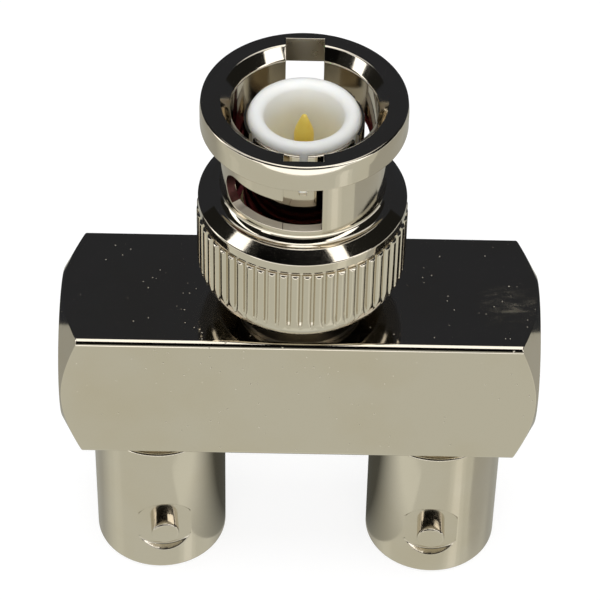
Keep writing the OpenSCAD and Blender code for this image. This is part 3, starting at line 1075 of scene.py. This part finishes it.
@dataclass
class PlugFront:
    """What is seen in the nut's mouth: contact sleeve, insulator, pin and gasket."""

    contact_dia: float = 8.1
    wall: float = 0.24
    contact_foot: float = 30.7
    contact_tip: float = 41.0
    slot_width: float = 0.55
    slot_length: float = 3.4
    root_step: float = 0.22
    pin_shoulder: float = 0.25
    insulator_front: float = 41.5
    cup_dia: float = 5.45
    throat_dia: float = 4.95
    cup_floor: float = 33.0
    taper: float = 3.4
    pin_dia: float = 1.35
    pin_tip: float = 41.2
    pin_point: float = 1.4
    tip_r: float = 0.16
    tail_r: float = 0.45
    tail_depth: float = 0.9
    tube_foot: float = 22.1
    tube_bore: float = 5.2
    axis_z: float = 19.25
    flange_top: float = 31.4
    gasket_t: float = 1.7
    flange_dia: float = 9.4

    def build(self) -> None:
        """Builds the four pieces."""
        self._contact()
        self._insulator()
        self._pin()
        self._gasket()

    def _contact(self) -> None:
        """Builds the thin sleeve with its six slots."""
        outer, inner = self.contact_dia / 2, self.contact_dia / 2 - self.wall
        root_top = self.flange_top + self.gasket_t + 0.1
        section = [
            Corner(inner, self.contact_foot),
            Corner(outer + self.root_step, self.contact_foot),
            Corner(outer + self.root_step, root_top),
            Corner(outer, root_top),
            Corner(outer, self.contact_tip, 0.1, 4),
            Corner(inner, self.contact_tip, 0.06, 3),
        ]
        sleeve = mesh_of(lathe(section, 216), "contact_sleeve")
        cutters = []
        for i in range(3):
            turned = Matrix.Rotation(math.radians(-90 + 60 * i), 4, "Z")
            cutters.append(
                box_tool(
                    (-outer - 1, -self.slot_width / 2, self.contact_tip - self.slot_length),
                    (outer + 1, self.slot_width / 2, self.contact_tip + 1),
                    turned,
                )
            )
        carve(sleeve, cutters)
        true_normals(sleeve)
        dress(sleeve, NUT_NICKEL, "outer_contact")

    def _insulator(self) -> None:
        """Builds the white insulator with its rounded ring and deep cup."""
        head = self.contact_dia / 2 - self.wall - PRESS_GAP
        shank = self.tube_bore / 2 - PRESS_GAP
        cup, throat = self.cup_dia / 2, self.throat_dia / 2
        ring = (head - cup) / 2
        hole = self.pin_dia / 2 + self.pin_shoulder + PRESS_GAP
        section = [
            Corner(hole, self.tube_foot),
            Corner(shank, self.tube_foot),
            Corner(shank, self.contact_foot),
            Corner(head, self.contact_foot),
            Corner(head, self.insulator_front, ring * 0.98, 10),
            Corner(cup, self.insulator_front, ring * 0.98, 10),
            Corner(throat, self.insulator_front - self.taper, 0.6, 4),
            Corner(throat, self.cup_floor, 0.3, 4),
            Corner(hole, self.cup_floor),
        ]
        piece = mesh_of(lathe(section, 160), "plug_dielectric")
        sharp_normals(piece)
        dress(piece, CUP_DIELECTRIC, "plug_insulator")

    def _pin(self) -> None:
        """Builds the gold pin with its pointed end."""
        r = self.pin_dia / 2
        root = r + self.pin_shoulder
        tail_end = self.axis_z - self.tail_depth
        section = [
            Corner(0, tail_end),
            Corner(self.tail_r, tail_end),
            Corner(self.tail_r, self.tube_foot),
            Corner(root, self.tube_foot),
            Corner(root, self.cup_floor),
            Corner(r, self.cup_floor),
            Corner(r, self.pin_tip - self.pin_point, 0.35, 5),
            Corner(self.tip_r, self.pin_tip - 0.06, 0.08, 4),
            Corner(0, self.pin_tip),
        ]
        pin = mesh_of(lathe(section, 96, closed=False), "plug_pin")
        sharp_normals(pin)
        dress(pin, GOLD, "centre_pin")

    def _gasket(self) -> None:
        """Builds the red gasket with its rounded front edges."""
        inner = self.contact_dia / 2 + self.root_step + PRESS_GAP
        outer = self.flange_dia / 2 + PRESS_GAP
        top = self.flange_top + self.gasket_t
        section = [
            Corner(inner, self.flange_top),
            Corner(outer, self.flange_top),
            Corner(outer, top, 0.15, 5),
            Corner(inner, top, 0.15, 5),
        ]
        gasket = mesh_of(lathe(section, 128), "gasket_ring")
        sharp_normals(gasket)
        dress(gasket, RUBBER, "gasket")


@dataclass
class CouplingNut:
    """The knurled nut with its two bayonet tracks."""

    rear: float = 26.3
    mouth: float = 42.6
    flange_dia: float = 13.94
    flange_t: float = 2.0
    neck_dia: float = 11.2
    bore_dia: float = 9.84
    mouth_dia: float = 11.3
    mouth_chamfer: float = 0.75
    rim_height: float = 0.6
    rim_step: float = 0.082
    knurl_dia: float = 14.5
    knurl_bottom: float = 28.8
    knurl_top: float = 33.1
    knurl_depth: float = 0.25
    knurl_gap: float = 0.26
    teeth: int = 56
    tooth_columns: int = 12
    ring_dia: float = 14.3
    ring_bottom: float = 33.4
    ring_top: float = 34.12
    shoulder_rise: float = 0.67
    fillet: float = 0.7
    rear_dia: float = 11.6
    lip_top: float = 28.3
    hole_dia: float = 6.92
    entry_width: float = 2.6
    entry_dia: float = 12.4
    slot_low: float = 35.8
    slot_high: float = 38.3
    slot_turn: float = 66.0
    detent_step: float = 0.05
    runout: float = 0.02
    track_ease: float = 0.05
    flute_fade: float = 1.3
    crest_share: float = 0.42

    def build(self) -> None:
        """Builds the nut, cuts its tracks and eases their edges."""
        nut = mesh_of(self._turned(), "turned_nut")
        carve(nut, self._track_tools())
        low, high = (self.slot_low - 0.3) * MM, (self.mouth + 0.1) * MM

        def track_edge(edge: bmesh.types.BMEdge) -> bool:
            """Picks the edges of the tracks."""
            a, b = edge.verts[0].co, edge.verts[1].co
            if min(a.z, b.z) < low or max(a.z, b.z) > high:
                return False
            if edge.calc_face_angle(0) < math.radians(40):
                return False
            return self._on_track(a) and self._on_track(b)

        ease_edges(nut, self.track_ease, track_edge)
        true_normals(nut)
        dress(nut, NUT_NICKEL, "coupling_nut", body="nut")
        for finish, test in (
            (GROOVE_NICKEL, self._is_groove),
            (SLOT_END_PAINTED_REFLECTION, self._is_slot_end),
            (SLOT_NICKEL, self._is_slot),
        ):
            nut.data.materials.append(finish.material())
            number = len(nut.data.materials) - 1
            for face in filter(test, nut.data.polygons):
                face.material_index = number

    def _is_groove(self, face: bpy.types.MeshPolygon) -> bool:
        """Says whether a face is the floor or a side of one of the entry grooves."""
        x, y, z = (c / MM for c in face.center)
        if not self.slot_low < z < self.mouth - 0.01 or math.hypot(x, y) < self.bore_dia / 2 - 0.1:
            return False
        half = self.entry_width / 2
        floor = abs(abs(y) - self.entry_dia / 2) < 0.03 and abs(x) < half
        side = abs(face.normal.x) > 0.9 and abs(abs(x) - half) < 0.03
        return floor or (side and z > self.slot_high)

    def _in_wall(self, reach: float) -> bool:
        """Says whether a radius is within the neck's wall."""
        return self.bore_dia / 2 - 0.02 < reach < self.neck_dia / 2 + 0.02

    def _is_slot_end(self, face: bpy.types.MeshPolygon) -> bool:
        """Says whether a face belongs to the wall at either end of one of the slots."""
        x, y, z = (c / MM for c in face.center)
        reach = math.hypot(x, y)
        crosswise = abs(face.normal.x * x + face.normal.y * y) < 0.5 * reach
        return self._in_wall(reach) and crosswise and self.slot_low - 0.1 < z < self.slot_high + 0.1

    def _is_slot(self, face: bpy.types.MeshPolygon) -> bool:
        """Says whether a face is the level top or bottom of one of the slots."""
        x, y, z = (c / MM for c in face.center)
        level = min(abs(z - self.slot_low), abs(z - self.slot_high)) < self.detent_step + 0.02
        return level and self._in_wall(math.hypot(x, y)) and abs(face.normal.z) > 0.85

    def _on_track(self, point: Vector) -> bool:
        """Says whether a point lies on the outline of one of the tracks."""
        x, y, z = (c / MM for c in point)
        if y > 0:
            x, y = -x, -y
        half = self.entry_width / 2
        on_floor = abs(y + self.entry_dia / 2) < 0.02 and abs(x) < half + 0.02
        on_groove = abs(abs(x) - half) < 0.02 or on_floor
        turn = math.degrees(math.atan2(x, -y))
        in_slot = -self.slot_turn - 1 < turn < 14 and self.slot_low - 0.1 < z < self.slot_high + 0.1
        if not in_slot:
            return on_groove and z > self.slot_low - 0.1
        rim = min(abs(math.hypot(x, y) - r) for r in (self.neck_dia / 2, self.bore_dia / 2)) < 0.02
        return on_groove or rim

    def _turned(self) -> bmesh.types.BMesh:
        """Turns the nut's section and sinks the knurl's flutes into it.

        Returns:
            The nut without its tracks, in millimetres.
        """
        neck, flange, knurl = self.neck_dia / 2, self.flange_dia / 2, self.knurl_dia / 2
        ring, bore = self.ring_dia / 2, self.bore_dia / 2
        skirt = self.rear_dia / 2
        rise = self.knurl_bottom - self.rear
        shoulder = self.ring_top + self.shoulder_rise
        section = [
            Corner(self.hole_dia / 2, self.rear, 0.1, 2),
            Corner(skirt, self.rear, 0.12, 3),
            Corner(skirt + 0.55 * (knurl - skirt), self.rear + 0.27 * rise, 0.5, 5),
            Corner(skirt + 0.9 * (knurl - skirt), self.rear + 0.65 * rise, 0.5, 5),
            Corner(knurl, self.knurl_bottom, 0.3, 4),
            Corner(knurl, self.knurl_bottom + 1.4),
            Corner(knurl, self.knurl_top - 0.9),
            Corner(knurl, self.knurl_top, 0.22, 4),
            Corner(ring - 0.2, self.knurl_top, 0.04, 2),
            Corner(ring - 0.2, self.ring_bottom, 0.04, 2),
            Corner(ring, self.ring_bottom, 0.07, 3),
            Corner(ring, self.ring_top, 0.08, 3),
            Corner(neck + self.fillet, shoulder, 0.05, 3),
            Corner(neck, shoulder, self.fillet * 0.93, 12),
            Corner(neck, self.mouth - self.flange_t, 0.08, 3),
            Corner(flange, self.mouth - self.flange_t, 0.12, 4),
            Corner(flange, self.mouth - self.rim_height, 0.25, 5),
            Corner(flange - self.rim_step, self.mouth, 0.16, 6),
            Corner(self.mouth_dia / 2, self.mouth, 0.1, 3),
            Corner(bore, self.mouth - self.mouth_chamfer, 0.12, 3),
            Corner(bore, self.lip_top, 0.2, 3),
            Corner(self.hole_dia / 2, self.lip_top, 0.1, 2),
        ]
        bm = lathe(section, self.teeth * self.tooth_columns)
        pitch = math.tau / self.teeth
        for v in bm.verts:
            r = math.hypot(v.co.x, v.co.y)
            if r < knurl - 1.2 or v.co.z > self.knurl_top + 0.02 or v.co.z < self.rear + 0.3:
                continue
            angle = math.atan2(v.co.y, v.co.x)
            off = abs((angle / pitch + 0.5) % 1.0 - 0.5) * pitch * knurl
            sink = self._flute(off) * self._fade(v.co.z)
            sunk = min(r, knurl - sink)
            v.co.x *= sunk / r
            v.co.y *= sunk / r
        return bm

    def _flute(self, off: float) -> float:
        """Returns how deep a flute is at a distance from its middle, in millimetres."""
        half = self.knurl_gap / 2
        if off <= half:
            return self.knurl_depth
        crest = math.pi * self.knurl_dia / self.teeth / 2
        share = min(1.0, (off - half) / (crest - half))
        return self.knurl_depth * self.crest_share * (1 - share) ** 2

    def _fade(self, z: float) -> float:
        """Returns how much of a flute's depth is left at a height; it runs out below the knurl."""
        return min(1.0, max(0.0, (z - self.knurl_bottom) / self.flute_fade + 1))

    def _track_tools(self) -> list[bpy.types.Object]:
        """Makes the cutters for both tracks: groove, slot and detent.

        Returns:
            The cutters.
        """
        tools = []
        neck = self.neck_dia / 2
        inner, outer = self.bore_dia / 2 - 0.6, neck + 0.5
        detent = (self.slot_high - self.slot_low) / 2 + self.detent_step
        end_turn = self.slot_turn - math.degrees(math.asin(detent / neck))
        entry_turn = math.degrees(math.asin(self.entry_width / 4 / neck))
        half = self.entry_width / 2
        groove_low = (-half, -self.entry_dia / 2, self.slot_low - self.runout)
        groove_high = (half, -inner, self.mouth + 1)
        low, high = self.slot_low, self.slot_high
        level = Matrix.Translation((0, 0, (low + high) / 2)) @ turn_to(Axis.X)
        start = Matrix.Rotation(math.radians(-90 - end_turn), 4, "Z")
        for turn in (0, 180):
            about = Matrix.Rotation(math.radians(turn), 4, "Z")
            tools.append(box_tool(groove_low, groove_high, about))
            bm = bmesh.new()
            section = ((inner, low), (outer, low), (outer, high), (inner, high))
            face = bm.faces.new([bm.verts.new((r, 0, z)) for r, z in section])
            bmesh.ops.spin(
                bm,
                geom=[face, *face.edges, *face.verts],
                cent=(0, 0, 0),
                axis=(0, 0, 1),
                angle=math.radians(end_turn + entry_turn),
                steps=48,
                use_duplicate=False,
            )
            bmesh.ops.recalc_face_normals(bm, faces=bm.faces[:])
            tools.append(mesh_of(bm, "cutter", about @ start))
            tools.append(tube_tool(detent, inner, outer, about @ start @ level, 64))
        return tools


@dataclass
class HiddenPieces:
    """CAD nodes that keep their shape and get their finish."""

    nut_travel: float = 0.8
    finishes: dict[str, Finish] = field(
        default_factory=lambda: {
            "cross_conductor": BRASS,
            "left_sleeve": DIELECTRIC,
            "right_sleeve": DIELECTRIC,
            "plug_tube": NUT_NICKEL,
            "thrust_washer": JACK_NICKEL,
            "wave_spring": SPRING,
            "retaining_ring": SPRING,
            "left_jack_socket": GOLD,
            "right_jack_socket": GOLD,
        }
    )

    def dress(self, nodes: dict[str, bpy.types.Object]) -> None:
        """Gives each node its finish.

        Args:
            nodes: The CAD nodes by name.
        """
        for name, finish in self.finishes.items():
            materials = nodes[name].data.materials
            materials.clear()
            materials.append(finish.material())
            log.info("%s keeps its CAD mesh", name)
        self._flatten_spring(nodes["wave_spring"])

    def _flatten_spring(self, spring: bpy.types.Object) -> None:
        """Gives the wave spring a mesh of its own.

        Args:
            spring: The spring's CAD node.
        """
        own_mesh(spring)


# Studio


@dataclass(frozen=True)
class Card:
    """A flat glowing card that only reflections see; lengths in millimetres.

    Attributes:
        name: Its name.
        centre: Its middle.
        faces: The point that it faces.
        size: Its width and height.
        colour: Its colour, as a sheet of paper in the same light would show.
        strength: How bright it is; 1 is its plain colour.
        roll: Its turn about its own middle, in degrees.
        fade: Start and end of a blend along Y, and the colour past its end, if it fades.
    """

    name: str
    centre: tuple[float, float, float]
    faces: tuple[float, float, float]
    size: tuple[float, float]
    colour: str
    strength: float = 1.0
    roll: float = 0.0
    fade: tuple[float, float, str] | None = None

    def build(self) -> None:
        """Makes the card and hides it from all but glossy rays."""
        middle = Vector(self.centre)
        bm = bmesh.new()
        bmesh.ops.create_grid(bm, x_segments=1, y_segments=1, size=0.5)
        bmesh.ops.scale(bm, vec=(*self.size, 1), verts=bm.verts[:])
        facing = (Vector(self.faces) - middle).to_track_quat("Z", "Y").to_matrix().to_4x4()
        roll = Matrix.Rotation(math.radians(self.roll), 4, "Z")
        card = mesh_of(bm, self.name, Matrix.Translation(middle) @ facing @ roll)
        made = bpy.data.materials.new(self.name)
        made.use_nodes = True
        made.node_tree.nodes.clear()
        board = NodeBoard(made.node_tree)
        colour = linear(self.colour) if self.fade is None else self._faded(board)
        glow = board.add("ShaderNodeEmission", {"Color": colour, "Strength": self.strength})
        board.surface(glow.outputs["Emission"])
        card.data.materials.append(made)
        card.visible_camera = False
        card.visible_diffuse = False
        card.visible_shadow = False
        card.visible_transmission = False

    def _faded(self, board: NodeBoard) -> bpy.types.NodeSocket:
        """Blends the card's colour to its second one between two places along Y.

        Args:
            board: The material's node tree.

        Returns:
            The blended colour.
        """
        start, end, second = self.fade
        back = board.add("ShaderNodeSeparateXYZ", {"Vector": board.where()}).outputs["Y"]
        share = board.ramp(back, (start * MM, end * MM), (0.0, 1.0))
        return board.mix(share, linear(self.colour), linear(second))


# The paper that upright walls mirror lies deep, because they look down at it steeply.
# The paper's fade to grey behind the part and the darker card at the right are painted
# shade that the part casts on the floor, and shade_between is the painted shadow
# between the jacks.
PAPER = (
    Card("paper", (0, -50, -150), (0, -50, 0), (1400, 1300), "#D5D6CB", fade=(10, 80, "#ACACA4")),
    Card("far_paper", (0, -210, -0.01), (0, -210, 100), (700, 278), "#FFFFFF", 1.8),
    Card("sheen_right", (124, -124, -149), (124, -124, 0), (72, 210), "#E0E1D6", roll=45),
    Card("sheen_right_core", (124, -124, -148), (124, -124, 0), (34, 210), "#F4F4EA", roll=45),
    Card("shaded_paper_right", (400, 300, -149.8), (400, 300, 0), (520, 700), "#B4B4AC"),
    Card("sheen_left", (-172, -30, -149), (-172, -30, 0), (40, 210), "#DCDDD2", roll=-80),
    Card("shade_between", (0, 0.5, -0.01), (0, 0.5, 100), (10.4, 29), "#E6E7DC", fade=(-9, 1, "#50504A")),
)


@dataclass
class Studio:
    """White sweep, soft lamps, cards and the camera of the photograph."""

    target: tuple[float, float, float] = (-0.02, 0.0, 23.83)
    bearing: float = -0.28
    elevation: float = 44.74
    distance: float = 203.0
    roll: float = 1.24
    sensor: float = 36.0
    focal: float = 172.182
    floor_glow: float = 0.80
    sky_light: float = 0.55
    cards: list[Card] = field(
        default_factory=lambda: [
            Card("wall_behind", (0, 230, 165), (0, 0, 165), (1200, 630), "#303237"),
            Card("photographer", (-22, -140, 165), (0, 0, 20), (210, 150), "#0C0C0C"),
            *PAPER,
            Card("left_strip", (-250, -33, 200), (0, -33, 200), (56, 420), "#FFFFFF", 2.2, 15),
            Card("right_strip", (186, -160, 230), (0, -30, 60), (110, 420), "#FFFFFF", 2.2, -22),
            Card("low_left", (-215, -225, 45), (0, 0, 20), (64, 60), "#FFFFFF", 2.0),
            Card("overhead", (0, -10, 560), (0, -10, 0), (300, 480), "#FFFFFF", 1.7),
            Card("dark_left", (-420, 0, 350), (0, 0, 350), (1000, 700), "#20201E"),
            Card("dark_right", (420, 0, 350), (0, 0, 350), (1000, 700), "#20201E"),
            Card("dark_front", (0, -430, 400), (0, 0, 400), (1000, 600), "#20201E"),
            Card("front_floor_line", (0, -420, 60), (0, 0, 60), (1000, 120), "#B4B4AE"),
        ]
    )

    def build(self) -> None:
        """Builds the studio."""
        self._camera()
        self._floor()
        self._world()
        for card in self.cards:
            card.build()
        self._lamp("overhead softbox", (0, -30, 330), (0, 0, 20), (420, 160), 2.1)
        self._lamp("front softbox", (0, -330, 130), (0, 0, 20), (420, 120), 4.2)

    def _camera(self) -> None:
        """Sets the camera where the photograph was taken from."""
        az, el, roll = (math.radians(a) for a in (self.bearing, self.elevation, self.roll))
        back = Vector((math.sin(az) * math.cos(el), -math.cos(az) * math.cos(el), math.sin(el)))
        right = Vector((math.cos(az), math.sin(az), 0))
        up = back.cross(right)
        across = math.cos(roll) * right + math.sin(roll) * up
        upward = -math.sin(roll) * right + math.cos(roll) * up
        data = bpy.data.cameras.new("camera")
        data.sensor_width = self.sensor
        data.sensor_fit = "HORIZONTAL"
        data.lens = self.focal
        data.clip_start = 0.01
        data.clip_end = 20
        camera = bpy.data.objects.new("camera", data)
        bpy.context.scene.collection.objects.link(camera)
        place = Matrix((across, upward, back)).transposed().to_4x4()
        place.translation = (Vector(self.target) + back * self.distance) * MM
        camera.matrix_world = place
        bpy.context.scene.camera = camera

    def _floor(self) -> None:
        """Lays the pale floor, which keeps the part's soft shadow."""
        bm = bmesh.new()
        bmesh.ops.create_grid(bm, x_segments=1, y_segments=1, size=0.5)
        bmesh.ops.scale(bm, vec=(6000, 6000, 1), verts=bm.verts[:])
        floor = mesh_of(bm, "floor", Matrix.Translation((0, 0, -0.02)))
        made = bpy.data.materials.new("white paper sweep")
        made.use_nodes = True
        made.node_tree.nodes.clear()
        board = NodeBoard(made.node_tree)
        strength = board.maths("MULTIPLY", board.seen(), self.floor_glow)
        paper = board.add("ShaderNodeBsdfDiffuse", {"Color": linear("#8F8F8F")}).outputs["BSDF"]
        glow = board.add("ShaderNodeEmission", {"Color": (1, 1, 1, 1), "Strength": strength})
        both = board.add("ShaderNodeAddShader", {0: paper, 1: glow.outputs["Emission"]})
        board.surface(both.outputs["Shader"])
        floor.data.materials.append(made)
        floor.visible_glossy = False

    def _world(self) -> None:
        """Sets a white surround for camera and reflections, a dimmer one as light."""
        world = bpy.data.worlds.new("white surround")
        bpy.context.scene.world = world
        world.use_nodes = True
        world.node_tree.nodes.clear()
        board = NodeBoard(world.node_tree)
        strength = board.ramp(board.seen(), (0.0, 1.0), (self.sky_light, 1.0))
        sky = board.add("ShaderNodeBackground", {"Color": (1, 1, 1, 1), "Strength": strength})
        board.surface(sky.outputs["Background"], "ShaderNodeOutputWorld")

    def _lamp(
        self,
        name: str,
        at: Sequence[float],
        towards: Sequence[float],
        size: tuple[float, float],
        radiance: float,
    ) -> None:
        """Hangs a soft lamp.

        Args:
            name: Its name.
            at: Where it hangs, in millimetres.
            towards: The point that it faces, in millimetres.
            size: Its width and depth, in millimetres.
            radiance: How bright its face looks; 1 is white.
        """
        data = bpy.data.lights.new(name, "AREA")
        data.shape = "RECTANGLE"
        data.size, data.size_y = size[0] * MM, size[1] * MM
        data.energy = radiance * math.pi * data.size * data.size_y
        lamp = bpy.data.objects.new(name, data)
        bpy.context.scene.collection.objects.link(lamp)
        lamp.location = Vector(at) * MM
        aim = (Vector(towards) - Vector(at)).to_track_quat("-Z", "Y")
        lamp.rotation_euler = aim.to_euler()
        lamp.visible_camera = False
        lamp.visible_glossy = False


def main() -> None:
    """Loads the frame and builds every piece in order."""
    logging.basicConfig(level=logging.INFO, format="%(name)s: %(message)s")
    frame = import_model()
    bpy.context.scene.view_settings.view_transform = "Standard"
    Studio().build()
    Bar().build()
    Jack("left", -10.2, 6.0).build()
    Jack("right", 10.2, -2.0).build()
    PlugFront().build()
    CouplingNut().build()
    HiddenPieces().dress(frame["nodes"])


if __name__ == "__main__":
    main()
